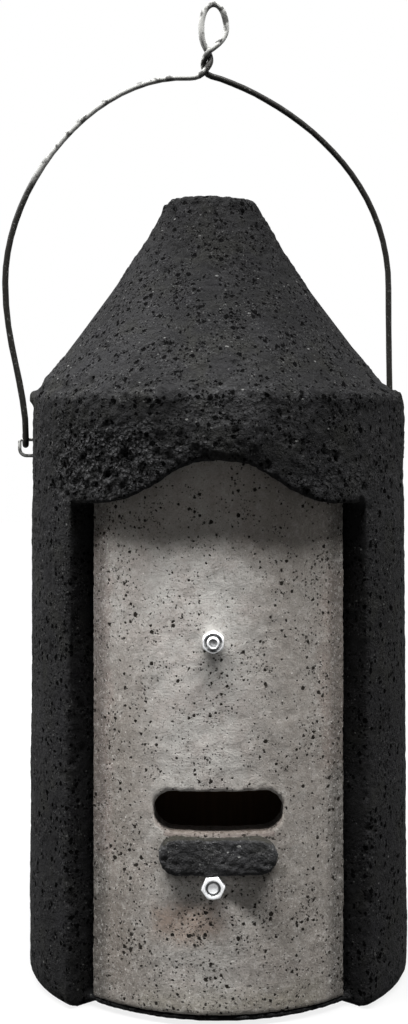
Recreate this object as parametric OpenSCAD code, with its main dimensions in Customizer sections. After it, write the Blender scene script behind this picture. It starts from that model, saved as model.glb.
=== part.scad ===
// Hanging bat box, cast in woodcrete, with a bolted double front and a wire hanger.
// Millimetres, +Z up, origin on the floor under the body's axis, front towards -Y.

/* [Casting] */
// Outer diameter of the casting at the eave
body_top_d = 158.6; // [152:0.2:170]
// Outer diameter of the casting at its foot
body_foot_d = 161.6; // [155:0.2:172]
// Diameter of the round hollow inside
cavity_d = 120; // [100:1:126]
// Height of the wall up to the eave
eave_z = 245; // [240:1:280]
// Rounding of the outer edge at the foot
foot_round = 5; // [1:0.5:8]
// Rounding of the outer edge at the eave
eave_round = 3; // [1:0.5:6]
// Thickness of the floor
floor_t = 18; // [10:0.5:30]

/* [Roof] */
// Height of the roof above the eave
roof_h = 83; // [60:1:110]
// Outer diameter of the roof at the eave
roof_base_d = 154; // [146:1:160]
// Diameter of the flat top before its edge is rounded
roof_top_d = 44; // [30:1:60]
// Sag of the roof's hollow flank below a straight cone
roof_sag = 3.4; // [0:0.2:8]
// Rounding of the top edge
roof_top_round = 6; // [1:0.5:8]
// Sideways offset of the roof on the body
roof_shift = 3; // [0:0.5:5]
// Thickness of the roof's crown
crown_t = 38; // [20:1:50]

/* [Opening] */
// Angle of each jamb from the middle of the front
jamb_angle = 47.5; // [40:0.5:52]
// Height of the visor's straight lower edge
visor_z = 200.5; // [190:0.5:205]
// Rise of the visor's arch
arch_rise = 17.5; // [8:0.5:20]
// Radius of the arch's crown
arch_r = 32; // [20:1:45]
// Slope of the arch's flanks
arch_slope = 33; // [25:1:40]
// Width of the arch where its flanks have eased into the straight edge
arch_span = 96; // [84:1:104]
// Overlap of the visor over the panel behind it
visor_lap = 6; // [3:0.5:8]
// Air gap between the panel and the casting around its top
panel_gap = 1.5; // [0.5:0.5:3]
// Height of the sill's top, on which the panel stands
sill_z = 4; // [3:0.5:9]
// Thickness of the sill
sill_t = 2.5; // [1.5:0.5:3]

/* [Front panel] */
// Width of the front panel
panel_w = 98.6; // [88:0.2:103]
// Thickness of the front panel
panel_t = 13; // [10:0.5:16]
// Setback of the panel behind the casting's face at the eave
panel_setback = 8.3; // [6:0.1:12]
// Width of the entry slot
slot_w = 50.4; // [36:0.2:60]
// Height of the entry slot
slot_h = 15.4; // [12:0.2:20]
// Height of the entry slot's middle
slot_z = 82; // [78:0.1:90]
// Width of the landing ledge
ledge_w = 45.6; // [30:0.2:60]
// Height of the landing ledge
ledge_h = 15; // [10:0.5:16]
// Distance of the ledge below the slot
ledge_drop = 1; // [0:0.1:3]
// Projection of the ledge from the panel
ledge_reach = 4; // [3:0.5:12]

/* [Inner board] */
// Width of the wooden board behind the panel
board_w = 86; // [60:1:90]
// Thickness of the board
board_t = 10; // [6:0.5:15]
// Height of the board's lower edge
board_z = 34; // [25:1:40]
// Length of the board
board_h = 168; // [150:1:180]
// Width of the crevice between panel and board
crevice = 20; // [15:0.5:26]

/* [Bolts] */
// Diameter of the bolts
bolt_d = 5; // [4:0.5:6]
// Width across the flats of nuts and bolt heads
nut_flats = 8; // [7:0.5:10]
// Height of the nuts and bolt heads
nut_h = 4; // [3:0.5:5]
// Length of the upper bolt standing out of its nut
bolt_out = 1.5; // [0.5:0.5:4]
// Length by which the lower bolt is shorter
lower_bolt_short = 2.2; // [0:0.1:3]
// Turn of the upper nut on its bolt, in degrees
upper_nut_turn = 30; // [0:1:60]
// Turn of the lower nut on its bolt, in degrees
lower_nut_turn = 6; // [-30:1:30]
// Height of the upper bolt
upper_bolt_z = 148; // [125:1:175]
// Height of the lower bolt
lower_bolt_z = 54; // [48:0.5:56]
// Offset of both bolts to the left of the middle
bolt_x = -2; // [-6:0.5:6]
// Outer diameter of the spacer sleeves
sleeve_d = 12; // [9:0.5:16]
// Outer diameter of the washers
washer_d = 15; // [12:0.5:20]
// Thickness of the washers
washer_t = 1.2; // [0.8:0.1:2]
// Play of a bolt in its holes
bolt_play = 0.5; // [0.2:0.1:1]

/* [Hanger] */
// Diameter of the hanger wire
wire_d = 2.7; // [2:0.1:3]
// Diameter of the staple wire
staple_d = 1.5; // [1.3:0.1:2.4]
// Height of the hinge line through the upper staple prongs
hinge_z = 225; // [215:1:232]
// Distance of the hinge line behind the body's axis
hinge_back = 19; // [10:1:25]
// Angle by which hanger and staples are turned on the body
hanger_turn = 10; // [0:1:15]
// Clearance between the middle of a hanger foot and the wall
foot_gap = 2.3; // [2.1:0.1:8]
// Distance by which the left arm bulges out over its foot
left_bulge = 8.8; // [0:0.1:12]
// Height of the hanger's eye above the hinge line
hanger_h = 194.5; // [185:0.5:215]
// Width of the hanger's eye, wire middle to wire middle
eye_w = 11.2; // [9:0.2:16]
// Distance between the two prongs of a staple
staple_h = 7; // [6:0.5:14]
// Depth of the staple prongs in the wall
prong_depth = 12; // [8:1:16]
// Free play between the wire and a staple
hook_play = 0.25; // [0.2:0.05:0.6]
// Radius of the staple's lower corner
staple_round = 3; // [1.5:0.1:4]

/* [Hidden] */
$fn = 96;

far = 200;                        // longer than the box is wide
front = -90;                      // angle of the front in the plan
side_angle = 80;                  // jamb block to side wall, from the front
back_angle = 128;                 // side wall to back wall, from the front
top_r = body_top_d / 2;
foot_r = body_foot_d / 2;
cavity_r = cavity_d / 2;
panel_r = top_r - panel_setback;
panel_in_r = panel_r - panel_t;
visor_in_r = panel_r + panel_gap;
floor_front_r = panel_in_r - panel_gap / 3;
panel_top_z = visor_z + arch_rise + visor_lap;
rebate_z = panel_top_z + panel_gap;
roof_z = eave_z + roof_h;
ledge_z = slot_z - slot_h / 2 - ledge_drop - ledge_h / 2;
board_y = -panel_in_r + crevice;  // front face of the board
bolt_tail = -panel_r - nut_h - bolt_out;
spot_sag = 0.2;                   // depth of the flat under each nut

wire_r = wire_d / 2;
foot_u = top_r + foot_gap;        // half the distance between the hanger's feet
staple_r = staple_d / 2;
hook_r = wire_r + staple_r + hook_play;
staple_bend = staple_r + 0.2;       // radius of the staple's upper corner
bight_u = foot_u + wire_r + hook_play + staple_bend;
wire_sides = 12;
eye_r = eye_w / 2;
strand_r = wire_r + 0.1;          // strands of the twist lie side by side
twist_pitch = 17;
twist_h = twist_pitch / 2;        // one crossing to the next
eye_h = 22.5;                       // upper crossing to the top of the eye
eye_top_z = hinge_z + hanger_h;
cross_z = eye_top_z - eye_h;
neck_z = cross_z - twist_h;
eye_u = 1.3;                      // the eye leans a little to the right
neck_u = -2.5;
bulge_z = hinge_z + 0.35 * hanger_h;
left_shoulder_u = foot_u - 29.6;  // where the arms lean in towards the neck
right_shoulder_u = foot_u - 43.6;

cast_grey = [0.16, 0.16, 0.165];
roof_grey = [0.24, 0.235, 0.23];
panel_grey = [0.62, 0.61, 0.59];
zinc = [0.78, 0.79, 0.8];
old_zinc = [0.32, 0.31, 0.29];
rough_wood = [0.45, 0.33, 0.22];

// ---- helpers -------------------------------------------------------------

function arc(cx, cy, r, a0, a1, n = 8) =
    [for (i = [0 : n]) let (a = a0 + (a1 - a0) * i / n) [cx + r * cos(a), cy + r * sin(a)]];

// wedge in the plan between two angles counted from the front, less than 180 apart
module wedge(a0, a1) {
    mid = (a0 + a1) / 2;
    polygon([[0, 0],
        far * [cos(front + a0), sin(front + a0)],
        1.5 * far * [cos(front + mid), sin(front + mid)],
        far * [cos(front + a1), sin(front + a1)]]);
}

module ring(r_out, r_in) {
    difference() {
        circle(r_out);
        circle(r_in);
    }
}

// upright section of the wall, with its draft and its two rounded edges
module wall_section() {
    polygon(concat(
        [[cavity_r, 0]],
        arc(foot_r - foot_round, foot_round, foot_round, -90, 0),
        arc(top_r - eave_round, eave_z - eave_round, eave_round, 0, 90),
        [[cavity_r, eave_z]]));
}

// piece of the round wall from angle a0 to a1, counted from the front
module wall_block(a0, a1) {
    rotate([0, 0, front + a0])
        rotate_extrude(angle = a1 - a0) wall_section();
}

module along_y(x, z, y0, y1) {
    translate([x, y1, z]) rotate([90, 0, 0]) linear_extrude(y1 - y0) children();
}

// ---- casting -------------------------------------------------------------

// the flank bows inwards by roof_sag between the eave and the top
function flank(t) = let (r0 = roof_base_d / 2, r1 = roof_top_d / 2)
    [r0 + (r1 - r0) * t - 4 * roof_sag * t * (1 - t),
     eave_z + (roof_h - roof_top_round) * t];

module roof() {
    steps = 14;
    top_r0 = roof_top_d / 2 - roof_top_round;
    hollow_h = roof_h - crown_t;
    color(roof_grey) translate([-roof_shift, 0, 0]) difference() {
        rotate_extrude() polygon(concat(
            [[0, eave_z]],
            [for (i = [0 : steps]) flank(i / steps)],
            arc(top_r0, roof_z - roof_top_round, roof_top_round, 30, 90, 4),
            [[0, roof_z]]));
        translate([0, 0, eave_z - 1])
            cylinder(h = hollow_h + 1, r1 = cavity_r - roof_shift, r2 = roof_top_d / 4);
    }
}

// lower edge of the visor: straight, easing into the sloping flanks of an arch
module arch_outline() {
    top_z = visor_z + arch_rise;
    crown = arc(0, top_z - arch_r, arch_r, 90 - arch_slope, 90 + arch_slope, 10);
    end = crown[0];
    rise = end[1] - visor_z;
    toe_z = 0.65 * rise;
    // the flank meets the straight edge's level at foot_x, and leaves it at toe_x
    foot_x = end[0] + rise / tan(arch_slope);
    toe_x = foot_x - toe_z / tan(arch_slope);
    toe = [for (i = [0 : 6]) let (t = 1 - i / 6, u = 1 - t)
        [u * u * toe_x + 2 * t * u * foot_x + t * t * arch_span / 2, visor_z + u * u * toe_z]];
    polygon(concat([[arch_span / 2, visor_z - 1]], toe, crown,
        [for (i = [6 : -1 : 0]) [-toe[i][0], toe[i][1]]],
        [[-arch_span / 2, visor_z - 1]]));
}

module visor() {
    color(cast_grey) difference() {
        wall_block(-jamb_angle, jamb_angle);
        // everything below the visor's edge
        translate([0, 0, -1]) cylinder(h = visor_z + 1, r = far);
        // room for the top of the panel
        cylinder(h = rebate_z, r = visor_in_r);
        along_y(0, 0, -far, 0) arch_outline();
    }
}

module left_jamb() { color(cast_grey) wall_block(-side_angle, -jamb_angle); }

module right_jamb() { color(cast_grey) wall_block(jamb_angle, side_angle); }

module left_wall() {
    color(cast_grey) difference() {
        wall_block(-back_angle, -side_angle);
        prong_holes(-1);
    }
}

module right_wall() {
    color(cast_grey) difference() {
        wall_block(side_angle, back_angle);
        prong_holes(1);
    }
}

module left_back_wall() { color(cast_grey) wall_block(-180, -back_angle); }

module right_back_wall() { color(cast_grey) wall_block(back_angle, 180); }

module floor() {
    color(cast_grey) linear_extrude(floor_t) {
        difference() {
            circle(cavity_r);
            wedge(-jamb_angle, jamb_angle);
        }
        intersection() {
            circle(floor_front_r);
            wedge(-jamb_angle, jamb_angle);
        }
    }
}

module sill() {
    color(cast_grey) translate([0, 0, sill_z - sill_t]) linear_extrude(sill_t)
        intersection() {
            ring(panel_r, floor_front_r);
            wedge(-jamb_angle, jamb_angle);
        }
}

// ---- front ---------------------------------------------------------------

module slot_outline() {
    half = (slot_w - slot_h) / 2;
    square([2 * half, slot_h], center = true);
    for (s = [-1, 1]) translate([s * half, 0]) circle(slot_h / 2);
}

module front_panel() {
    color(panel_grey) difference() {
        translate([0, 0, sill_z]) linear_extrude(panel_top_z - sill_z) intersection() {
            ring(panel_r, panel_in_r);
            wedge(-jamb_angle, jamb_angle);
            translate([-panel_w / 2, -far]) square([panel_w, far]);
        }
        along_y(0, slot_z, -far, 0) slot_outline();
        for (z = [lower_bolt_z, upper_bolt_z]) {
            along_y(bolt_x, z, -far, 0) circle(d = bolt_d + bolt_play);
            along_y(bolt_x, z, -far, -panel_r + spot_sag) circle(d = nut_flats + 3);
        }
    }
}

// rounded bar with round ends, bedded on the curved face of the panel
module landing_ledge() {
    // radius of the bar whose face stands out by ledge_reach over a chord of ledge_h
    r = (pow(ledge_h / 2, 2) + pow(ledge_reach, 2)) / (2 * ledge_reach);
    half = (ledge_w - ledge_h) / 2;
    color(cast_grey) difference() {
        intersection() {
            translate([0, r - panel_r - ledge_reach, ledge_z])
                rotate([0, 90, 0]) cylinder(h = ledge_w, r = r, center = true);
            along_y(0, ledge_z, -far, 0) hull() {
                for (s = [-1, 1]) translate([s * half, 0]) circle(d = ledge_h);
            }
        }
        translate([0, 0, ledge_z - far / 2]) cylinder(h = far, r = panel_r);
        along_y(bolt_x, lower_bolt_z, -far, 0) circle(d = nut_flats + 3);
    }
}

module inner_board() {
    color(rough_wood) difference() {
        translate([-board_w / 2, board_y, board_z]) cube([board_w, board_t, board_h]);
        for (z = [lower_bolt_z, upper_bolt_z])
            along_y(bolt_x, z, -far, 0) circle(d = bolt_d + bolt_play);
    }
}

// distance sleeve between the curved back of the panel and the board
module sleeve(z) {
    color(zinc) intersection() {
        along_y(bolt_x, z, -panel_r, board_y) ring(sleeve_d / 2, (bolt_d + bolt_play) / 2);
        translate([0, 0, z - sleeve_d]) cylinder(h = 2 * sleeve_d, r = panel_in_r);
    }
}

module upper_sleeve() { sleeve(upper_bolt_z); }

module lower_sleeve() { sleeve(lower_bolt_z); }

module hexagon(flats) { circle(d = flats / cos(30), $fn = 6); }

// hexagonal prism with the corners of its outer end turned off
module hex_block(flats, h) {
    intersection() {
        linear_extrude(h) hexagon(flats);
        cylinder(h = h, r1 = flats / 2 + h * 1.6, r2 = flats / 2 - 0.1);
    }
}

module bolt(z, short) {
    head_y = board_y + board_t + washer_t;
    color(zinc) {
        along_y(bolt_x, z, bolt_tail + short, head_y) circle(d = bolt_d);
        translate([bolt_x, head_y, z]) rotate([-90, 0, 0]) hex_block(nut_flats, nut_h);
    }
}

module nut(z, turn) {
    color(zinc) difference() {
        translate([bolt_x, -panel_r + spot_sag, z]) rotate([90, 0, 0]) rotate([0, 0, turn])
            hex_block(nut_flats, nut_h);
        along_y(bolt_x, z, -far, 0) circle(d = bolt_d);
    }
}

module washer(z) {
    y0 = board_y + board_t;
    color(zinc) along_y(bolt_x, z, y0, y0 + washer_t) ring(washer_d / 2, bolt_d / 2);
}

module upper_bolt() { bolt(upper_bolt_z, 0); }

module lower_bolt() { bolt(lower_bolt_z, lower_bolt_short); }

module upper_nut() { nut(upper_bolt_z, upper_nut_turn); }

module lower_nut() { nut(lower_bolt_z, lower_nut_turn); }

module upper_washer() { washer(upper_bolt_z); }

module lower_washer() { washer(lower_bolt_z); }

// ---- staples -------------------------------------------------------------

// frame of the hanger: u along the hinge line, v to the back, origin on the hinge line
module hanger_frame() {
    rotate([0, 0, hanger_turn]) translate([0, hinge_back, hinge_z]) children();
}

prong_in_u = sqrt(pow(top_r, 2) - pow(hinge_back, 2)) - prong_depth;

// two prongs driven into the wall, the upper one on the hinge line
module staple(side) {
    color(zinc) hanger_frame() mirror([side < 0 ? 1 : 0, 0, 0]) {
        for (p = [[0, staple_bend], [-staple_h, staple_round]])
            translate([prong_in_u, 0, p[0]]) rotate([0, 90, 0])
                cylinder(h = bight_u - p[1] - prong_in_u, d = staple_d);
        translate([bight_u, 0, staple_round - staple_h])
            cylinder(h = staple_h - staple_round - staple_bend, d = staple_d);
        for (end = [[-staple_bend, 0, staple_bend], [staple_round - staple_h, 270, staple_round]])
            translate([bight_u - end[2], 0, end[0]]) rotate([90, 0, 0]) rotate([0, 0, end[1]])
                rotate_extrude(angle = 90) translate([end[2], 0]) circle(d = staple_d);
    }
}

module prong_holes(side) {
    hanger_frame() mirror([side < 0 ? 1 : 0, 0, 0]) for (w = [0, -staple_h])
        translate([prong_in_u, 0, w]) rotate([0, 90, 0]) cylinder(h = far, d = staple_d);
}

module left_staple() { staple(-1); }

module right_staple() { staple(1); }

// ---- hanger --------------------------------------------------------------

function bezier(p, n) = [for (i = [0 : n - 1]) let (t = i / n, s = 1 - t)
    s * s * s * p[0] + 3 * s * s * t * p[1] + 3 * s * t * t * p[2] + t * t * t * p[3]];

// hook under the upper prong, from its tip behind to the leg in front
function hook(u) = concat([[u, hook_r, 2.5]],
    [for (i = [0 : 9]) let (a = 180 * i / 10) [u, hook_r * cos(a), -hook_r * sin(a)]]);

// leg, shoulder and neck of one arm, up to the lower crossing of the twist
leg_z = bulge_z - hinge_z;
neck_w = neck_z - hinge_z;
lead = 3.5;
left_route = concat(hook(-foot_u),
    bezier([[-foot_u, -hook_r, 0], [-foot_u, -hook_r, 25],
        [-foot_u - left_bulge, 0, 40], [-foot_u - left_bulge, 0, leg_z]], 8),
    bezier([[-foot_u - left_bulge, 0, leg_z], [-foot_u - left_bulge, 0, leg_z + 43],
        [-left_shoulder_u, 0, neck_w - 3], [neck_u - 7, 0, neck_w - lead]], 20),
    bezier([[neck_u - 7, 0, neck_w - lead], [neck_u - 4, -0.4, neck_w - lead],
        [neck_u - 1.4, -strand_r, neck_w - 2.4], [neck_u, -strand_r, neck_w]], 4));
right_route = concat(hook(foot_u),
    bezier([[foot_u, -hook_r, 0], [foot_u, -hook_r, 25],
        [foot_u, 0, 40], [foot_u, 0, leg_z]], 8),
    bezier([[foot_u, 0, leg_z], [foot_u + 0.5, 0, leg_z + 51],
        [right_shoulder_u, 0, neck_w - 14], [neck_u + 7, 0, neck_w - lead]], 20),
    bezier([[neck_u + 7, 0, neck_w - lead], [neck_u + 4, 0.4, neck_w - lead + 1],
        [neck_u + 1.4, strand_r, neck_w - 2.4], [neck_u, strand_r, neck_w]], 4));

// one strand of the twist, half a turn from the lower to the upper crossing
function axis_u(w) = neck_u + (eye_u - neck_u) * min(1, (w - neck_w) / (twist_h + eye_h / 2));
function strand(phase) = [for (i = [0 : 7])
    let (a = phase + 180 * i / 8, w = neck_w + twist_h * i / 8)
    [axis_u(w) + strand_r * cos(a), strand_r * sin(a), w]];

// oval eye, from the crossing up its left side and down its right side
cross_w = cross_z - hinge_z;
eye_round_w = cross_w + 0.48 * eye_h;   // level of the eye's widest place
eye_top_h = eye_h - wire_r - 0.48 * eye_h;
eye_route = concat(
    bezier([[axis_u(cross_w), strand_r, cross_w],
        [axis_u(cross_w) - 2.6, strand_r, cross_w + 3.2],
        [eye_u - eye_r, 0, eye_round_w - 5], [eye_u - eye_r, 0, eye_round_w]], 10),
    [for (i = [0 : 15]) let (a = 180 - 180 * i / 16)
        [eye_u + eye_r * cos(a), 0, eye_round_w + eye_top_h * sin(a)]],
    bezier([[eye_u + eye_r, 0, eye_round_w], [eye_u + eye_r, 0, eye_round_w - 5],
        [axis_u(cross_w) + 3.4, -strand_r, cross_w + 2.6],
        [axis_u(cross_w), -strand_r, cross_w]], 10));

function reversed(list) = [for (i = [len(list) - 1 : -1 : 0]) list[i]];
function unit(v) = v / norm(v);

left_strand = strand(-90);
right_strand = reversed(concat(strand(90), [[axis_u(cross_w), -strand_r, cross_w]]));
route = concat(left_route, left_strand, eye_route, right_strand, reversed(right_route));
left_end = len(left_route);
right_end = len(route) - len(right_route) - 1;

function heading(i) = unit(route[min(i + 1, len(route) - 1)] - route[max(i - 1, 0)]);
// side vectors carried along the route without twisting
function side_vectors(i, v, list) = i == len(route) ? list :
    let (h = heading(i), w = unit(v - (v * h) * h)) side_vectors(i + 1, w, concat(list, [w]));
sides = side_vectors(0, [1, 0, 0], []);
function wire_ring(i) = let (h = heading(i), s = sides[i], t = cross(h, s))
    [for (k = [0 : wire_sides - 1]) let (a = 360 * k / wire_sides)
        route[i] + wire_r * (cos(a) * s + sin(a) * t)];

// the stretch of wire from ring i0 to ring i1
module wire(i0, i1) {
    n = wire_sides;
    last = i1 - i0;
    color(old_zinc) hanger_frame() polyhedron(
        points = [for (i = [i0 : i1]) each wire_ring(i)],
        faces = concat(
            [[for (k = [0 : n - 1]) k]],
            [for (j = [0 : last - 1], k = [0 : n - 1]) let (m = (k + 1) % n)
                [j * n + k, (j + 1) * n + k, (j + 1) * n + m, j * n + m]],
            [[for (k = [n - 1 : -1 : 0]) last * n + k]]));
}

module hanger_left_arm() { wire(0, left_end); }

module hanger_eye() { wire(left_end, right_end); }

module hanger_right_arm() { wire(right_end, len(route) - 1); }

// ---- output --------------------------------------------------------------

roof();
visor();
left_jamb();
right_jamb();
left_wall();
right_wall();
left_back_wall();
right_back_wall();
floor();
sill();
front_panel();
landing_ledge();
inner_board();
upper_sleeve();
lower_sleeve();
upper_bolt();
lower_bolt();
upper_nut();
lower_nut();
upper_washer();
lower_washer();
left_staple();
right_staple();
hanger_left_arm();
hanger_right_arm();
hanger_eye();
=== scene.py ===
"""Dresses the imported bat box: cast woodcrete, grey front, zinc hardware and a wire hanger."""

import math

import bpy
from bpy.props import FloatProperty, FloatVectorProperty
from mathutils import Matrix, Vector


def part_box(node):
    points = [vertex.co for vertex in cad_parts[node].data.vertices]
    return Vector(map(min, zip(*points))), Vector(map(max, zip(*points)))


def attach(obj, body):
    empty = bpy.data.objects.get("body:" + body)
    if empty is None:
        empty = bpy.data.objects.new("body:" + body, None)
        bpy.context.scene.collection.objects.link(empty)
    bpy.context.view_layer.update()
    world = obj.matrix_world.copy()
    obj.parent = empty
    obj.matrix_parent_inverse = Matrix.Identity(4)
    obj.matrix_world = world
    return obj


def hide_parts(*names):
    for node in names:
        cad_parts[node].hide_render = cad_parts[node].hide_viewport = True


bl_info = {
    "name": "Woodcrete bat box",
    "version": (1, 0, 0),
    "blender": (4, 5, 0),
    "location": "View3D > Sidebar > Bat box",
    "description": "Models the finish of a cast bat box on its fixed frame",
    "category": "Add Mesh",
}

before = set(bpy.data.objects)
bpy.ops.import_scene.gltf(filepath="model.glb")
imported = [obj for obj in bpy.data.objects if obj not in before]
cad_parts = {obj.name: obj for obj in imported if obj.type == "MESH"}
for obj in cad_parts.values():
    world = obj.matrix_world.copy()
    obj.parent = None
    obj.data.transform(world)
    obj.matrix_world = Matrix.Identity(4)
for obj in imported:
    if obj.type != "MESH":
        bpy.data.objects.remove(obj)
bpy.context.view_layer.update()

MM = 0.001
FRONT = -math.pi / 2            # angle of the front in the plan
WELD = 0.01 * MM                # vertices this close are merged
HEX_TURN = math.radians(30)     # from a hexagon's corner to the middle of its side
BOLT_RADIUS = 2.5 * MM
NUT_FLATS = 8 * MM              # width of a nut across its flats
PITCH = 0.8 * MM                # of the threads
SLOT_HALF_W = 25 * MM
SLOT_HALF_H = 7.8 * MM
MOST_TRIANGLES = 195000         # of the casting
CAST_NODES = (
    "roof", "visor", "left_jamb", "right_jamb", "left_wall", "right_wall",
    "left_back_wall", "right_back_wall", "floor", "sill",
)
WIRE_NODES = ("hanger_left_arm", "hanger_eye", "hanger_right_arm")

# Coarse patches of the visor: low and high corner in x and z, in mm, and share.
LUMPS = (
    ((-64, 203), (-24, 230), 1.0),      # lower left
    ((-34, 208), (2, 226), 0.6),        # left flank of the arch
    ((-14, 232), (22, 246), 0.35),      # over the arch
    ((30, 204), (62, 216), 0.4),        # lower right
)
# Stains of the panel: low and high corner in x and z and blur, in mm, share and colour.
STAINS = (
    ((-24, 33), (0, 46), 5, 0.5, (0.36, 0.235, 0.165, 1)),          # rusty, below the ledge
    # The left edge's brownish band is partly a stain and partly painted shade beside the jamb.
    ((-54, 60), (-43, 190), 2, 0.5, (0.30, 0.235, 0.21, 1)),        # left edge
    ((41, 95), (60, 175), 3, 0.4, (0.24, 0.175, 0.145, 1)),         # right edge
    ((-30, 4), (40, 13), 5, 0.55, (0.17, 0.155, 0.115, 1)),         # bottom
    ((-54, 14), (-36, 46), 4, 0.4, (0.15, 0.125, 0.105, 1)),        # lower left corner
)
# Name, turn in degrees, and radius of the countersink, of the rounded corners and of the cup.
FASTENERS = (
    ("upper", 30, 3.62 * MM, 4.38 * MM, 1.65 * MM),
    ("lower", -6, 3.05 * MM, 4.60 * MM, 0.0),
)


# ---- settings ----


class CastingSettings(bpy.types.PropertyGroup):
    """Sizes and colours of the cast body and roof"""

    eave_radius: FloatProperty(
        name="Eave radius", description="Outer radius of the wall at the eave",
        default=0.0793, unit="LENGTH")
    foot_radius: FloatProperty(
        name="Foot radius", description="Outer radius of the wall at the foot",
        default=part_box("right_wall")[1].x, unit="LENGTH")
    cavity_radius: FloatProperty(
        name="Cavity radius", description="Radius of the round hollow",
        default=0.060, unit="LENGTH")
    jamb_angle: FloatProperty(
        name="Jamb angle", description="Angle of each jamb from the middle of the front",
        default=math.radians(47.5), subtype="ANGLE")
    arch_span: FloatProperty(
        name="Arch span", description="Width of the visor's arch at its straight edge",
        default=0.096, unit="LENGTH")
    arch_rise: FloatProperty(
        name="Arch rise", description="Rise of the visor's arch over its straight edge",
        default=0.0175, unit="LENGTH")
    arch_slope: FloatProperty(
        name="Arch slope", description="Slope of the arch's flanks",
        default=math.radians(33), subtype="ANGLE")
    roof_shift: FloatProperty(
        name="Roof shift", description="Sideways offset of the roof on the body",
        default=0.003, unit="LENGTH")
    roof_sag: FloatProperty(
        name="Roof sag", description="How far the roof's flank bows inwards",
        default=0.0034, unit="LENGTH")
    grain: FloatProperty(
        name="Grain", description="Mesh size of the cast surface",
        default=0.0013, unit="LENGTH")
    # The pit colour also paints the shade in the recess and in the creases of the visor's crumbs.
    dark: FloatVectorProperty(
        name="Pit colour", description="Colour inside the pits",
        default=(0.0025, 0.0025, 0.0025), subtype="COLOR")
    paint: FloatVectorProperty(
        name="Cast colour", description="Colour of the black woodcrete",
        default=(0.0125, 0.0125, 0.0128), subtype="COLOR")
    shade: FloatVectorProperty(
        name="Shade colour", description="Colour of the faint bluish patches",
        default=(0.0118, 0.0117, 0.0127), subtype="COLOR")
    dust: FloatVectorProperty(
        name="Dust colour", description="Colour of the greenish dust on the woodcrete",
        default=(0.0148, 0.0148, 0.0135), subtype="COLOR")
    # The crumb colour is also the base of the painted glints.
    crumb_and_glint: FloatVectorProperty(
        name="Crumb colour", description="Colour of the pale crumbs in the woodcrete",
        default=(0.065, 0.065, 0.063), subtype="COLOR")


class PanelSettings(bpy.types.PropertyGroup):
    """Sizes and colours of the grey front panel and its ledge"""

    side: FloatVectorProperty(
        name="Panel colour", description="Colour of the grey panel",
        default=(0.402, 0.390, 0.368), subtype="COLOR")
    warm: FloatVectorProperty(
        name="Warm colour", description="Colour of the faint pinkish patches",
        default=(0.375, 0.345, 0.322), subtype="COLOR")
    # The brown colour also paints the shade at the panel's top.
    brown: FloatVectorProperty(
        name="Brown colour", description="Colour of the browner lower part",
        default=(0.245, 0.222, 0.196), subtype="COLOR")
    # The edge colour is partly the panel's own and partly painted shade on its sides.
    edge: FloatVectorProperty(
        name="Edge colour", description="Colour of the darker sides",
        default=(0.185, 0.165, 0.145), subtype="COLOR")
    grain: FloatProperty(
        name="Grain", description="Mesh size of the panel's surface",
        default=0.0011, unit="LENGTH")


class WireSettings(bpy.types.PropertyGroup):
    """Colours of the hanger, staples, nuts and bolts"""

    zinc: FloatVectorProperty(
        name="Zinc colour", description="Colour of the bright zinc plating",
        default=(0.88, 0.89, 0.90), subtype="COLOR")
    dull_zinc: FloatVectorProperty(
        name="Dull zinc colour", description="Colour of the weathered galvanised wire",
        default=(0.26, 0.26, 0.25), subtype="COLOR")
    tarnish: FloatVectorProperty(
        name="Tarnish colour", description="Colour of the tarnished wire",
        default=(0.0105, 0.010, 0.009), subtype="COLOR")


class StageSettings(bpy.types.PropertyGroup):
    """Camera and lights"""

    distance: FloatProperty(
        name="Camera distance", description="Distance of the camera from the body's axis",
        default=0.650, unit="LENGTH")
    height: FloatProperty(
        name="Camera height", description="Height of the camera above the floor",
        default=0.230, unit="LENGTH")
    lens: FloatProperty(
        name="Lens", description="Focal length on a 36 mm sensor", default=53.0)
    key_power: FloatProperty(
        name="Key power", description="Power of the long high front light", default=74.0)
    rim_power: FloatProperty(
        name="Rim power", description="Power of the light on the right behind the box", default=3.5)
    side_power: FloatProperty(
        name="Side power", description="Power of the high light on the left", default=20.0)
    fill: FloatProperty(
        name="Fill", description="Strength of the even light from all round", default=0.085)


# ---- mesh helpers ----


def set_mode(mode):
    bpy.ops.object.mode_set(mode=mode)


def select_all(action="SELECT"):
    bpy.ops.mesh.select_all(action=action)


def edit_all():
    """Enter edit mode with everything selected."""
    set_mode("EDIT")
    select_all()


def deselect():
    if bpy.context.object and bpy.context.object.mode != "OBJECT":
        set_mode("OBJECT")
    bpy.ops.object.select_all(action="DESELECT")


def activate(obj):
    deselect()
    obj.select_set(True)
    bpy.context.view_layer.objects.active = obj


def outline(name, points):
    """A chain of edges through the points, made by extruding one vertex."""
    deselect()
    bpy.ops.mesh.primitive_plane_add(size=MM, location=(0, 0, 0))
    obj = bpy.context.object
    obj.name = obj.data.name = name
    edit_all()
    bpy.ops.mesh.merge(type="CENTER")
    points = [Vector(p) for p in points]
    bpy.ops.transform.translate(value=points[0])
    for a, b in zip(points, points[1:]):
        bpy.ops.mesh.extrude_vertices_move(TRANSFORM_OT_translate={"value": b - a})
    set_mode("OBJECT")
    return obj


def close_mesh():
    """In edit mode: merge doubles, fill open ends and point the faces outwards."""
    select_all()
    bpy.ops.mesh.remove_doubles(threshold=WELD)
    select_all("DESELECT")
    bpy.ops.mesh.select_non_manifold(extend=False)
    bpy.ops.mesh.edge_face_add()
    select_all()
    bpy.ops.mesh.normals_make_consistent(inside=False)


def lathe(name, points, steps=160, start=0.0, turn=2 * math.pi):
    """Spin an (r, z) outline about the upright axis, from one angle through another."""
    c, s = math.cos(start), math.sin(start)
    obj = outline(name, [(r * c, r * s, z) for r, z in points])
    edit_all()
    bpy.ops.mesh.spin(steps=steps, angle=turn, center=(0, 0, 0), axis=(0, 0, -1))
    close_mesh()
    set_mode("OBJECT")
    return obj


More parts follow.
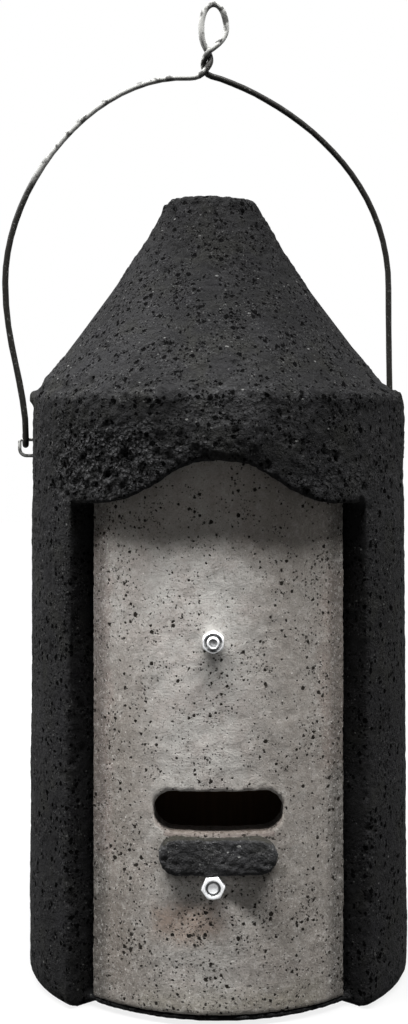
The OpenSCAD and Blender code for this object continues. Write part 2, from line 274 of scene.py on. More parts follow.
def prism(name, points, reach):
    """Close the outline and extrude it along one direction into a solid."""
    obj = outline(name, points + points[:1])
    edit_all()
    bpy.ops.mesh.edge_face_add()
    bpy.ops.mesh.extrude_region_move(TRANSFORM_OT_translate={"value": reach})
    select_all()
    bpy.ops.mesh.normals_make_consistent(inside=False)
    set_mode("OBJECT")
    return obj


def hexagon(name, radius, depth):
    """Upright hexagonal bar that stands on the origin."""
    deselect()
    bpy.ops.mesh.primitive_cylinder_add(vertices=6, radius=radius, depth=depth,
                                        location=(0, 0, depth / 2), rotation=(0, 0, HEX_TURN))
    obj = bpy.context.object
    obj.name = obj.data.name = name
    bpy.ops.object.transform_apply(location=True, rotation=True)
    return obj


def select_where(obj, test):
    """Enter edit mode with only the vertices selected whose place passes the test."""
    activate(obj)
    set_mode("EDIT")
    bpy.ops.mesh.select_mode(type="VERT")
    select_all("DESELECT")
    set_mode("OBJECT")
    for v in obj.data.vertices:
        v.select = test(v.co)
    set_mode("EDIT")


def finish_modifier(obj, kind, **values):
    """Add one modifier with these values and apply it."""
    activate(obj)
    mod = obj.modifiers.new(kind.lower(), kind)
    for key, value in values.items():
        setattr(mod, key, value)
    bpy.ops.object.modifier_apply(modifier=mod.name)


def cut(obj, tool, operation="DIFFERENCE"):
    finish_modifier(obj, "BOOLEAN", object=tool, operation=operation, solver="EXACT")
    bpy.data.objects.remove(tool, do_unlink=True)


def recast(obj, grain, passes):
    """Rebuild the mesh in faces of that size and soften it."""
    finish_modifier(obj, "REMESH", mode="VOXEL", voxel_size=grain)
    finish_modifier(obj, "SMOOTH", factor=0.5, iterations=passes)


def relief_texture(obj, kind, size):
    tex = bpy.data.textures.new(obj.name + "_relief", kind)
    tex.noise_scale = size * MM
    return tex


def displace(obj, tex, height, mid, group):
    """Move the surface along its normals by the texture. Here and below, sizes are in mm."""
    finish_modifier(obj, "DISPLACE", texture=tex, texture_coords="LOCAL", strength=height * MM,
                    mid_level=mid, vertex_group=group)


def roughen(obj, size, height, group="", mid=0.5):
    """Push the surface in and out by soft clouds of about that size."""
    tex = relief_texture(obj, "CLOUDS", size)
    tex.noise_depth = 2
    displace(obj, tex, height, mid, group)


def clump(obj, size, height, group=""):
    """Raise round crumbs of about that size, with creases between them."""
    displace(obj, relief_texture(obj, "VORONOI", size), -height, 0.5, group)


def pock(obj, size, depth, wide, group):
    """Sink small round holes, one in each cell of about that size."""
    tex = relief_texture(obj, "VORONOI", size)
    tex.use_color_ramp = True
    ramp = tex.color_ramp.elements
    ramp[0].position, ramp[0].color = wide * 0.6, (0, 0, 0, 1)
    ramp[1].position, ramp[1].color = wide, (1, 1, 1, 1)
    displace(obj, tex, depth, 1.0, group)


def swell(obj, height, group):
    """Push a weighted patch straight out."""
    finish_modifier(obj, "DISPLACE", strength=height * MM, mid_level=0.0, vertex_group=group)


def weight(obj, name, value_at):
    """Vertex group whose weight at each point is value_at(point)."""
    group = obj.vertex_groups.new(name=name)
    for v in obj.data.vertices:
        w = value_at(v.co)
        if w > 0:
            group.add([v.index], min(1.0, w), "REPLACE")
    return name


def smoothstep(a, b, x):
    t = max(0.0, min(1.0, (x - a) / (b - a)))
    return t * t * (3 - 2 * t)


def arc(cx, cz, r, a0, a1, n=8):
    """Points on an arc, angles in degrees."""
    turn = [math.radians(a0 + (a1 - a0) * i / n) for i in range(n + 1)]
    return [(cx + r * math.cos(a), cz + r * math.sin(a)) for a in turn]


def mirrored(points):
    """The points, and back again on the other side of the upright axis."""
    return points + [(-x, z) for x, z in reversed(points)]


def capsule(half_w, half_h, z, y, n):
    """Round-ended outline in the plane y, with its middle at height z."""
    ring = mirrored(arc(half_w - half_h, z, half_h, -90, 90, n))
    return [(x, y, height) for x, height in ring]


def set_materials(obj, *materials):
    obj.data.materials.clear()
    for material in materials:
        obj.data.materials.append(material)


def finish_piece(obj, nodes, material=None, body="box"):
    """Shade the piece, smooth or by angle if it has its materials, and tie it to the frame."""
    activate(obj)
    if material:
        set_materials(obj, material)
        bpy.ops.object.shade_smooth()
    else:
        bpy.ops.object.shade_smooth_by_angle(angle=math.radians(28))
    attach(obj, body)
    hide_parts(*nodes)


# ---- material helpers ----


class Nodes:
    """Short names for the nodes of one tree."""

    def __init__(self, tree):
        self.tree = tree

    def add(self, kind, **values):
        node = self.tree.nodes.new(kind)
        for key, value in values.items():
            setattr(node, key, value)
        return node

    def link(self, value, socket):
        if isinstance(value, bpy.types.NodeSocket):
            self.tree.links.new(value, socket)
        else:
            socket.default_value = value

    def math(self, operation, a, b=0.0):
        node = self.add("ShaderNodeMath", operation=operation)
        self.link(a, node.inputs[0])
        self.link(b, node.inputs[1])
        return node.outputs[0]

    def plus(self, a, b):
        return self.math("ADD", a, b)

    def minus(self, a, b):
        return self.math("SUBTRACT", a, b)

    def times(self, product, *values):
        for value in values:
            product = self.math("MULTIPLY", product, value)
        return product

    def most(self, a, b):
        return self.math("MAXIMUM", a, b)

    def length(self, a, b):
        return self.math("SQRT", self.plus(self.times(a, a), self.times(b, b)))

    def step(self, value, low, high, to_low=0.0, to_high=1.0):
        """Value mapped from low..high to to_low..to_high, smooth and clamped."""
        node = self.add("ShaderNodeMapRange", interpolation_type="SMOOTHSTEP")
        self.link(value, node.inputs["Value"])
        for key, number in (("From Min", low), ("From Max", high),
                            ("To Min", to_low), ("To Max", to_high)):
            node.inputs[key].default_value = number
        return node.outputs["Result"]

    def seen(self):
        """1 for rays from the eye, a reflection or glass, 0 for light on the object."""
        rays = self.add("ShaderNodeLightPath").outputs
        return self.most(rays["Is Camera Ray"],
                         self.most(rays["Is Glossy Ray"], rays["Is Transmission Ray"]))


class Shader(Nodes):
    """One procedural material on the piece's own coordinates, its textures' sizes in mm."""

    def __init__(self, name, roughness=0.8, metallic=0.0, specular=0.5):
        self.material = bpy.data.materials.new(name)
        self.material.use_nodes = True
        super().__init__(self.material.node_tree)
        self.bsdf = self.tree.nodes["Principled BSDF"]
        self.bsdf.inputs["Roughness"].default_value = roughness
        self.bsdf.inputs["Metallic"].default_value = metallic
        self.bsdf.inputs["Specular IOR Level"].default_value = specular
        self.place = self.add("ShaderNodeTexCoord").outputs["Object"]

    def part(self, vector, name):
        """One of the three numbers of a vector."""
        node = self.add("ShaderNodeSeparateXYZ")
        self.link(vector, node.inputs[0])
        return node.outputs[name]

    def axis(self, name):
        """One coordinate of the point in the object, in metres."""
        return self.part(self.place, name)

    def facing_up(self):
        """1 where the surface faces straight up, 0 where it is upright."""
        return self.part(self.add("ShaderNodeNewGeometry").outputs["Normal"], "Z")

    def mix(self, factor, a, b, blend="MIX"):
        node = self.add("ShaderNodeMix", data_type="RGBA", blend_type=blend)
        self.link(factor, node.inputs["Factor"])
        self.link(a, node.inputs["A"])
        self.link(b, node.inputs["B"])
        return node.outputs["Result"]

    def tint(self, base, colour, *masks):
        """The base colour, turned to another colour as far as the product of the masks."""
        return self.mix(self.times(*masks), base, colour)

    def shade(self, base, factor):
        """The base colour, darkened by a number that varies."""
        return self.mix(1.0, base, factor, "MULTIPLY")

    def mapped(self, scale=(1, 1, 1), turn=(0, 0, 0), move=(0, 0, 0)):
        node = self.add("ShaderNodeMapping")
        node.inputs["Scale"].default_value = scale
        node.inputs["Rotation"].default_value = turn
        node.inputs["Location"].default_value = move
        self.link(self.place, node.inputs["Vector"])
        return node.outputs["Vector"]

    def texture(self, kind, size, place=None):
        node = self.add(kind)
        self.link(place or self.place, node.inputs["Vector"])
        node.inputs["Scale"].default_value = 1 / (size * MM)
        return node

    def clouds(self, size, detail, rough, place=None):
        node = self.texture("ShaderNodeTexNoise", size, place)
        node.inputs["Detail"].default_value = detail
        node.inputs["Roughness"].default_value = rough
        return node.outputs

    def noise(self, size, detail=3.0, rough=0.6, place=None):
        return self.clouds(size, detail, rough, place)["Fac"]

    def ragged(self, amount, size):
        """The point, pushed about by noise, for outlines that aren't round."""
        push = self.add("ShaderNodeVectorMath", operation="MULTIPLY_ADD")
        self.link(self.clouds(size, 2.0, 0.5)["Color"], push.inputs[0])
        push.inputs[1].default_value = [amount * MM] * 3
        self.link(self.place, push.inputs[2])
        return push.outputs["Vector"]

    def pits(self, size, radius, share, place=None, spread=1.0):
        """1 in holes of up to that radius, mostly small, one in a share of the cells, else 0."""
        cell = self.texture("ShaderNodeTexVoronoi", size, place)
        chance = self.add("ShaderNodeSeparateColor")
        self.link(cell.outputs["Color"], chance.inputs[0])
        few_large = self.math("POWER", chance.outputs[0], 3.0)
        chosen = self.math("GREATER_THAN", chance.outputs[1], 1 - share)
        reach = self.plus(self.times(few_large, 0.65), 0.35)
        reach = self.times(reach, radius / size, chosen, spread)
        gap = self.minus(reach, cell.outputs["Distance"])
        return self.step(gap, 0.0, 0.25 * radius / size)

    def box(self, place, low, high, blur, shift=0):
        """1 inside a range of x and z in mm, fading over blur, else 0."""
        inside = 1.0
        for key, ends in (("X", (low[0], high[0])), ("Z", (low[1], high[1]))):
            along = self.part(place, key)
            for end, sign in zip(ends, (1, -1)):
                edge = end * MM + shift * MM
                ramp = self.step(along, edge - sign * blur * MM, edge + sign * blur * MM)
                inside = self.times(inside, ramp)
        return inside

    def relief(self, height, distance, below=None):
        node = self.add("ShaderNodeBump")
        node.inputs["Strength"].default_value = 1.0
        node.inputs["Distance"].default_value = distance * MM
        self.link(height, node.inputs["Height"])
        if below is not None:
            self.link(below, node.inputs["Normal"])
        return node.outputs["Normal"]

    def finish(self, colour, normal=None, roughness=None, specular=None):
        for value, key in ((colour, "Base Color"), (normal, "Normal"), (roughness, "Roughness"),
                           (specular, "Specular IOR Level")):
            if value is not None:
                self.link(value, self.bsdf.inputs[key])
        return self.material


def rgb(colour, gain=1.0):
    return (*[c * gain for c in colour], 1.0)


# ---- materials ----


def lump_mask(m):
    """1 where the visor is coarse: at its lower left, along its left, and above the arch."""
    place = m.ragged(14, 9)
    mask = 0.0
    for low, high, share in LUMPS:
        patch = m.box(place, low, high, 5, shift=7)
        mask = m.most(mask, m.times(patch, share))
    return m.times(mask, m.step(m.axis("Y"), -40 * MM, -48 * MM))


def recess_shade_mask(m, s):
    """Painted shade: how much darker the recess's flanks and the corners beside them are."""
    x, y = m.axis("X"), m.axis("Y")
    sideways = m.math("ABSOLUTE", m.math("DIVIDE", x, y))
    flank = math.tan(s.jamb_angle)
    inside = m.step(m.length(x, y), s.eave_radius - 0.6 * MM, s.eave_radius - 2.2 * MM)
    face = m.times(m.step(sideways, flank + 0.05, flank + 0.015), inside)
    corner = m.step(sideways, flank + 0.12, flank + 0.03)
    mask = m.most(m.times(face, 0.22), m.times(corner, 0.15))
    return m.times(mask, m.math("LESS_THAN", y, 0.0), m.step(m.axis("Z"), 0.222, 0.216))


def woodcrete_material(name="black_woodcrete", light=1.0, pitted=1.0, casting=False):
    """Black cast woodcrete: smooth and crumbly patches, black pits, pale crumbs and fibres, painted
    glints, and on the casting painted light and shade.
    """
    s = bpy.context.scene.bat_casting
    m = Shader(name, roughness=0.85, specular=0.06)
    dark = rgb(s.dark)
    crumbly = m.step(m.noise(8), 0.38, 0.55, 0.3, 1.0)
    if casting:
        lumpy = lump_mask(m)
        crumbly = m.most(crumbly, lumpy)
    torn = m.ragged(1.7, 1.4)
    torn_fine = m.ragged(0.8, 0.8)
    spread = m.step(crumbly, 0.3, 0.9, 0.65 * pitted, 1.15 * pitted)
    pits = m.pits(2.2, 1.2, 0.85, torn, spread)
    pin_holes = m.pits(1.15, 0.56, 0.85, torn_fine, spread)
    holes = m.most(pits, m.times(pin_holes, 0.9))
    patches = m.noise(26)
    clouds = m.noise(15, detail=2.0, place=m.mapped(move=(0.3, 0.1, 0.2)))
    base = m.tint(rgb(s.paint, 0.80 * light), rgb(s.paint, 1.20 * light),
                  m.step(patches, 0.35, 0.65))
    base = m.tint(base, rgb(s.dust, light), m.step(clouds, 0.50, 0.70), 0.8)
    base = m.tint(base, rgb(s.shade, light), m.step(clouds, 0.45, 0.28), 0.7)
    grain = m.noise(0.9, detail=4.0, rough=0.8)
    base = m.tint(base, rgb(s.paint, 3.2 * light), m.step(grain, 0.50, 0.68), crumbly, 0.8)
    base = m.tint(base, dark, m.step(grain, 0.50, 0.28), crumbly, 0.8 * pitted)
    crumbs = m.pits(1.1, 0.5, 0.8, torn_fine, crumbly)
    base = m.tint(base, rgb(s.crumb_and_glint, light), crumbs, 0.7)
    upright = m.mapped(scale=(1.0, 0.8, 0.3), turn=(0.6, 0.5, 0.9))
    fibres = m.pits(2.0, 0.36, 0.7, upright, crumbly)
    base = m.tint(base, rgb(s.crumb_and_glint, 1.3 * light), fibres, 0.7)
    # Painted glints: bright specks standing in for the surface's sparkle.
    level = m.mapped(scale=(0.4, 0.8, 0.8), turn=(0.4, 0.8, 0.3))
    painted_glints = m.pits(2.1, 0.4, 0.5, level)
    base = m.tint(base, rgb(s.crumb_and_glint, 2.2 * light), painted_glints, 0.7)
    coarse = m.noise(2.6, rough=0.65)
    height = m.minus(m.times(coarse, 1.2), m.times(pits, 0.9))
    height = m.minus(height, m.times(pin_holes, 0.35))
    height = m.plus(height, m.times(crumbs, 0.35))
    if casting:
        z = m.axis("Z")
        # Darker towards the top of the roof, and painted shade towards its right, away from the
        # light on the left.
        roof_dim_and_side_shade = m.times(m.step(z, 0.240, 0.330, 1.0, 0.56),
                       m.step(m.axis("X"), -30 * MM, 45 * MM, 1.0, 0.74))
        base = m.shade(base, m.most(roof_dim_and_side_shade, m.step(z, 0.245, 0.235)))
        # Coarse patches: lighter, as painted light on the visor's left, with painted highlights on
        # the crumbs' tops and painted shade in the creases between them.
        base = m.tint(base, rgb(s.paint, 3.0), lumpy, 0.5)
        cell = m.texture("ShaderNodeTexVoronoi", 1.6, m.ragged(1.6, 1.3))
        cell = cell.outputs["Distance"]
        base = m.tint(base, dark, m.step(cell, 0.50, 0.72), lumpy, 0.8)
        base = m.tint(base, rgb(s.paint, 5.5), m.step(cell, 0.38, 0.16), lumpy, 0.8)
        height = m.minus(height, m.times(cell, lumpy, 1.8))
        # Painted shade on the recess's flanks and the corners beside them.
        base = m.tint(base, dark, recess_shade_mask(m, s))
    else:
        # Darker and browner where the ledge faces up.
        upward_darker = m.step(m.facing_up(), 0.35, 0.85)
        base = m.tint(base, (0.016, 0.0145, 0.010, 1), upward_darker, 0.7)
    base = m.tint(base, dark, holes)
    normal = m.relief(grain, 0.4, below=m.relief(height, 1.0))
    return m.finish(base, normal, specular=m.times(m.minus(1.0, holes), 0.03))


def slot_tint(m, base, face):
    """The base colour, with painted shade on the inside and crumbled rim of the slot, darkest where
    they face up near its ends.
    """
    x = m.axis("X")
    straight, middle = 16.6 * MM, 82 * MM       # half length between the round ends, and height
    beside = m.most(m.minus(m.math("ABSOLUTE", x), straight), 0.0)
    out = m.length(beside, m.minus(m.axis("Z"), middle))
    out = m.minus(out, m.times(m.step(m.noise(1.5), 0.3, 0.7), 1.1 * MM))
    depth = m.length(x, m.axis("Y"))
    rim = m.times(m.step(out, 8.0 * MM, 7.2 * MM), m.step(depth, face + 0.3 * MM, face - 0.6 * MM))
    # Painted shade on the slot's inside, darkest where it faces up near the ends.
    end_shade = m.times(m.step(m.facing_up(), -0.05, 0.25), m.step(beside, 0.0, 5 * MM))
    inner = m.tint((0.055, 0.045, 0.038, 1), (0.015, 0.012, 0.010, 1), end_shade)
    return m.tint(base, inner, rim, 0.9)


def panel_material():
    """Pale grey woodcrete: black pits, brown and pinkish stains, a dark smear and painted shadow by
    the ledge, and painted shade under the visor, along its sides, on the lip and where it faces up.
    """
    s = bpy.context.scene.bat_panel
    m = Shader("grey_woodcrete", roughness=0.8, specular=0.2)
    low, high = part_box("front_panel")
    x, z = m.axis("X"), m.axis("Z")
    across = m.math("ABSOLUTE", x)
    cloud = m.noise(13, detail=4.0)
    low_down = m.step(z, 0.135, 0.035)
    # Darker towards the right side and the lower left: partly the panel's own browner edges, partly
    # painted shade away from the light on the left.
    lower_left = m.times(m.step(x, -14 * MM, -38 * MM), m.step(z, 0.165, 0.110, 0.4, 1.0))
    side_tone_and_shade = m.most(m.step(x, -2 * MM, 28 * MM, 0.0, 0.82), lower_left)
    base = m.tint(rgb(s.side), rgb(s.warm), m.step(cloud, 0.38, 0.70))
    base = m.tint(base, rgb(s.brown), low_down, 0.42)
    # Painted shade: browner and darker at the top, under the visor, deepening its shadow.
    base = m.tint(base, rgb(s.brown), m.step(z, 0.174, 0.190), 0.5)
    base = m.tint(base, rgb(s.edge), side_tone_and_shade, 0.95)
    wander = m.ragged(9, 8)
    for *corners, blur, share, colour in STAINS:
        base = m.tint(base, colour, m.box(wander, *corners, blur, shift=4.5), share)
    # Painted shade along the panel's sides, beside the jambs.
    base = m.shade(base, m.step(across, high.x - 8 * MM, high.x - 3 * MM, 1.0, 0.42))
    mottle = m.noise(3.6, rough=0.7)
    base = m.tint(base, rgb(s.side, 1.2), m.step(mottle, 0.48, 0.72), 0.3)
    base = m.tint(base, rgb(s.brown, 0.75), m.step(mottle, 0.50, 0.30), 0.45)
    grain = m.noise(0.7, rough=0.75)
    base = m.tint(base, rgb(s.side, 1.3), m.step(grain, 0.45, 0.78), 0.3)
    base = m.tint(base, rgb(s.brown, 0.6), m.step(grain, 0.52, 0.26), 0.35)
    worn = m.most(m.step(across, 28 * MM, 44 * MM), low_down)
    speck = m.noise(1.3, detail=4.0, rough=0.8)
    base = m.tint(base, rgb(s.side, 1.5), m.step(speck, 0.54, 0.68), 0.5, worn)
    base = m.tint(base, rgb(s.brown, 0.4), m.step(speck, 0.46, 0.32), 0.6, worn)
    # Dark smear under the ledge, partly painted shadow.
    smear_and_shadow = m.box(m.ragged(5, 2.6), (-17.5, 58.5), (29, 63.5), 1.2)
    base = m.tint(base, (0.05, 0.045, 0.037, 1), smear_and_shadow, 0.5)
    # Painted shade on the lip between the slot and the ledge, which faces up into the light.
    lip = m.box(m.ragged(2, 2), (-20, 73.2), (23, 75.2), 0.5)
    base = m.tint(base, (0.115, 0.092, 0.082, 1), lip, m.step(mottle, 0.35, 0.60, 0.45, 0.9))
    # Painted shade where the panel faces up into the light.
    base = m.tint(base, (0.085, 0.072, 0.064, 1), m.step(m.facing_up(), 0.14, 0.42), 0.85)
    many = m.step(m.noise(11, detail=2.0), 0.35, 0.65, 0.62, 1.25)
    many = m.plus(many, m.times(worn, 0.12))
    torn = m.ragged(1.2, 1.0)
    pits = m.pits(2.1, 0.82, 0.75, torn, many)
    small = m.pits(1.2, 0.48, 0.9, torn, many)
    tiny = m.pits(0.8, 0.32, 0.85, m.ragged(0.6, 0.6), many)
    pale = m.pits(1.8, 0.36, 0.4, m.mapped(move=(0.2, 0.3, 0.1)))
    holes = m.most(pits, m.times(small, 0.85))
    base = m.tint(base, rgb(s.side, 1.8), pale, 0.55)
    base = m.tint(base, (0.07, 0.062, 0.055, 1), tiny, 0.75)
    base = m.tint(base, (0.024, 0.021, 0.018, 1), holes)
    base = slot_tint(m, base, -low.y)
    normal = m.relief(m.minus(m.times(grain, 0.35), holes), 0.5)
    normal = m.relief(cloud, 0.5, below=normal)
    return m.finish(base, normal, specular=m.times(m.minus(1.0, holes), 0.2))


def zinc_material():
    """Bright zinc plating with faint streaks."""
    s = bpy.context.scene.bat_wire
    m = Shader("bright_zinc", roughness=0.32, metallic=0.3)
    streaks = m.noise(0.9, detail=2.0)
    base = m.tint(rgb(s.zinc), rgb(s.zinc, 0.75), m.step(streaks, 0.3, 0.8))
    rough = m.step(streaks, 0.2, 0.8, 0.22, 0.38)
    return m.finish(base, m.relief(streaks, 0.03), rough)


def staple_material():
    """Dull galvanised wire with dark spots."""
    s = bpy.context.scene.bat_wire
    m = Shader("staple_zinc", roughness=0.4, specular=0.1)
    spots = m.step(m.noise(2.2), 0.45, 0.62)
    return m.finish(m.tint(rgb(s.dull_zinc, 1.6), rgb(s.tarnish), spots, 0.8))


def hollow_shade_material():
    """Grey zinc, mottled and painted dark: painted shade and painted dark reflections in the
    threads, the countersink and the cup.
    """
    s = bpy.context.scene.bat_wire
    m = Shader("painted_hollow_shade", roughness=0.6, specular=0.3)
    spots = m.noise(0.7, detail=2.0)
    base = m.tint(rgb(s.zinc, 0.14), rgb(s.zinc, 0.42), m.step(spots, 0.35, 0.65))
    return m.finish(base, m.relief(spots, 0.05))


def wire_material():
    """Galvanised wire, bright at the eye and down to the left shoulder, tarnished elsewhere."""
    s = bpy.context.scene.bat_wire
    m = Shader("hanger_wire", roughness=0.45, specular=0.06)
    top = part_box("hanger_eye")[1].z
    patches = m.noise(5)
    wander = m.minus(patches, 0.5)
    x = m.plus(m.axis("X"), m.times(wander, 0.008))
    z = m.plus(m.axis("Z"), m.times(wander, 0.03))
    eye = m.step(z, top - 24 * MM, top - 20 * MM)
    arm = m.times(m.step(x, -5 * MM, -8 * MM), m.step(z, 0.330, 0.352))
    blotches = m.step(patches, 0.62, 0.50, 0.15, 1.0)
    base = m.tint(rgb(s.tarnish), rgb(s.dull_zinc), m.most(eye, arm), blotches)
    scratches = m.step(m.noise(1.1, detail=2.0), 0.60, 0.70)
    base = m.tint(base, rgb(s.dull_zinc, 0.7), scratches, 0.35)
    return m.finish(base, m.relief(patches, 0.08), m.step(patches, 0.3, 0.7, 0.3, 0.55))


def board_material():
    """Rough sawn softwood, darkened as painted shade of the box's inside seen through the slot."""
    m = Shader("rough_wood", roughness=0.9, specular=0.1)
    rings = m.noise(2.2, place=m.mapped(scale=(1, 1, 0.06)))
    base = m.tint((0.095, 0.056, 0.030, 1), (0.070, 0.042, 0.023, 1), m.step(rings, 0.3, 0.7))
    return m.finish(base, m.relief(rings, 0.3))


# ---- pieces ----


class BATBOX_OT_casting(bpy.types.Operator):
    """Cast body and roof in one piece, with its recess, arched visor and hollow"""

    bl_idname = "bat_box.casting"
    bl_label = "Casting"

    def execute(self, context):
        s = context.scene.bat_casting
        obj = self.shell(s)
        self.cut_recess(obj, s)
        recast(obj, s.grain, 3)
        self.roughen_skin(obj, s)
        self.thin_out(obj)
        finish_piece(obj, CAST_NODES, woodcrete_material(casting=True))
        return {"FINISHED"}

    def shell(self, s):
        """The solid outside, minus the round hollow."""
        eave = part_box("visor")[1].z
        roof_low, roof_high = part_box("roof")
        top = roof_high.z
        floor_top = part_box("floor")[1].z
        r_base = (roof_high.x - roof_low.x) / 2
        r_top = 22 * MM
        drop = 6 * MM
        peak = top - 38 * MM            # of the hollow
        flank = []
        for i in range(15):
            t = i / 14
            r = r_base + (r_top - r_base) * t - 4 * s.roof_sag * t * (1 - t)
            flank.append((r, eave + (top - drop - eave) * t))
        foot, lip = 5 * MM, 3 * MM      # roundings of the foot and the eave
        wall = arc(s.foot_radius - foot, foot, foot, -90, 0)
        wall += arc(s.eave_radius - lip, eave - lip, lip, 0, 90, 4)
        crown = arc(r_top - drop, top - drop, drop, 30, 90, 4)
        obj = lathe("casting", [(0, 0)] + wall + flank + crown + [(0, top)])
        self.shift_above(obj, eave + 0.1 * MM, -s.roof_shift)
        hollow = lathe("hollow", [(0, floor_top), (s.cavity_radius, floor_top),
                                  (s.cavity_radius, eave - MM),
                                  (s.cavity_radius - s.roof_shift, eave),
                                  (11 * MM, peak), (0, peak)], steps=96)
        self.shift_above(hollow, eave - 0.1 * MM, -s.roof_shift)
        cut(obj, hollow)
        return obj

    def shift_above(self, obj, z, dx):
        select_where(obj, lambda p: p.z > z)
        bpy.ops.transform.translate(value=(dx, 0, 0))
        set_mode("OBJECT")

    def cut_recess(self, obj, s):
        """The opening between the jambs, the arch, and the rebate for the panel's top."""
        sill_under, sill = (corner.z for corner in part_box("sill"))
        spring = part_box("visor")[0].z
        panel_low, panel_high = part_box("front_panel")
        inner = 57.5 * MM
        face = -panel_low.y
        rebate = face + 1.5 * MM
        far = 95 * MM
        start = FRONT - s.jamb_angle
        turn = 2 * s.jamb_angle
        opening = [(inner, -MM), (far, -MM), (far, spring), (inner, spring), (inner, sill),
                   (face, sill), (face, sill_under), (inner, sill_under), (inner, -MM)]
        top = panel_high.z + 1.5 * MM
        behind = [(inner, sill + MM), (rebate, sill + MM), (rebate, top), (inner, top),
                  (inner, sill + MM)]
        for name, ring in (("opening", opening), ("rebate", behind)):
            cut(obj, lathe(name, ring, steps=48, start=start, turn=turn))
        edge = self.arch_edge(s, spring)
        end = edge[0][0]
        ring = [(end, spring - MM)] + edge + [(-end, spring - MM)]
        cut(obj, prism("arch", [(x, -inner, z) for x, z in ring], (0, inner - far, 0)))

    def arch_edge(self, s, spring):
        """The arch from right to left: an eased toe, a sloping flank, a round crown, and back."""
        slope = math.degrees(s.arch_slope)
        radius = 32 * MM                # of the crown
        crown = arc(0, spring + s.arch_rise - radius, radius, 90 - slope, 90 + slope, 12)
        x, z = crown[0]
        rise = z - spring
        foot = x + rise / math.tan(s.arch_slope)
        toe_z = 0.65 * rise
        toe_x = foot - toe_z / math.tan(s.arch_slope)
        toe = []
        for i in range(7):
            u = i / 6
            t = 1 - u
            toe.append((u * u * toe_x + 2 * t * u * foot + t * t * s.arch_span / 2,
                        spring + u * u * toe_z))
        return toe + crown + [(-x, z) for x, z in reversed(toe)]

    def roughen_skin(self, obj, s):
        """Cast relief, by groups of vertices that each weigh one kind of it."""
        spring, eave = (corner.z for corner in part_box("visor"))
        roof_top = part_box("roof")[1].z

        def skin(p):
            """Rougher on the visor and the roof than on the walls."""
            outside = smoothstep(58 * MM, 62 * MM, math.hypot(p.x, p.y))
            high_up = 0.5 + 0.5 * smoothstep(spring - 6 * MM, spring + 8 * MM, p.z)
            return max(outside, smoothstep(eave + 44 * MM, eave + 50 * MM, p.z)) * \
                smoothstep(0.5 * MM, 3 * MM, p.z) * high_up

        def above_arch(p):
            """Height of the point over the visor's edge."""
            rise = s.arch_rise * (1 - (abs(p.x) / (0.5 * s.arch_span)) ** 1.4)
            return p.z - spring - max(0.0, rise)

        def crumbly(p):
            """Coarse on the left of the visor and low down there, finer towards the right."""
            near = smoothstep(0.5 * MM, 4 * MM, above_arch(p))
            near *= smoothstep(eave + 3 * MM, eave - 4 * MM, p.z)
            left = smoothstep(14 * MM, -18 * MM, p.x)
            low = smoothstep(eave - 8 * MM, spring + 12 * MM, p.z)
            return near * smoothstep(-30 * MM, -55 * MM, p.y) * (0.22 + left * (0.24 + 0.54 * low))

        def brow(p):
            """Lump over the crown of the arch."""
            far = math.hypot((p.x - 3 * MM) / 1.7, p.z - (spring + 26 * MM))
            return smoothstep(15 * MM, 3 * MM, far) * smoothstep(-74 * MM, -78 * MM, p.y)

        def nib(p):
            """Small knob at the left end of the eave."""
            far = math.hypot(p.x + 79 * MM, p.y + 6 * MM)
            return smoothstep(5 * MM, MM, far) * smoothstep(5 * MM, MM, abs(p.z - eave + MM))

        def edge(p):
            """The eave, and the rounded top of the roof."""
            out = smoothstep(60 * MM, 70 * MM, math.hypot(p.x, p.y))
            top = smoothstep(12 * MM, 3 * MM, roof_top - p.z)
            return max(out * smoothstep(4 * MM, 0.5 * MM, abs(p.z - eave)), top)

        skin_group = weight(obj, "skin", skin)
        swell(obj, 2.0, weight(obj, "brow", brow))
        swell(obj, 3.0, weight(obj, "nib", nib))
        roughen(obj, 24, 1.8, skin_group, mid=0.55)
        clump(obj, 3.6, 2.0, weight(obj, "crumbly", crumbly))
        edge_group = weight(obj, "edge", edge)
        roughen(obj, 6, 2.0, edge_group, mid=0.6)
        clump(obj, 3.6, 1.2, edge_group)
        roughen(obj, 3.2, 1.3, skin_group, mid=0.58)
        pock(obj, 8.5, 1.3, 0.21, skin_group)

    def thin_out(self, obj):
        """Fewer faces on the inside and the back, where nothing fine shows."""
        def hidden(p):
            inside = math.hypot(p.x, p.y) < 62 * MM and 3 * MM < p.z < 287 * MM
            return 1.0 if inside else 0.25 * smoothstep(10 * MM, 40 * MM, p.y)

        have = sum(len(f.vertices) - 2 for f in obj.data.polygons)
        finish_modifier(obj, "DECIMATE", ratio=min(1.0, MOST_TRIANGLES / have),
                        vertex_group=weight(obj, "hidden", hidden), vertex_group_factor=1.0)


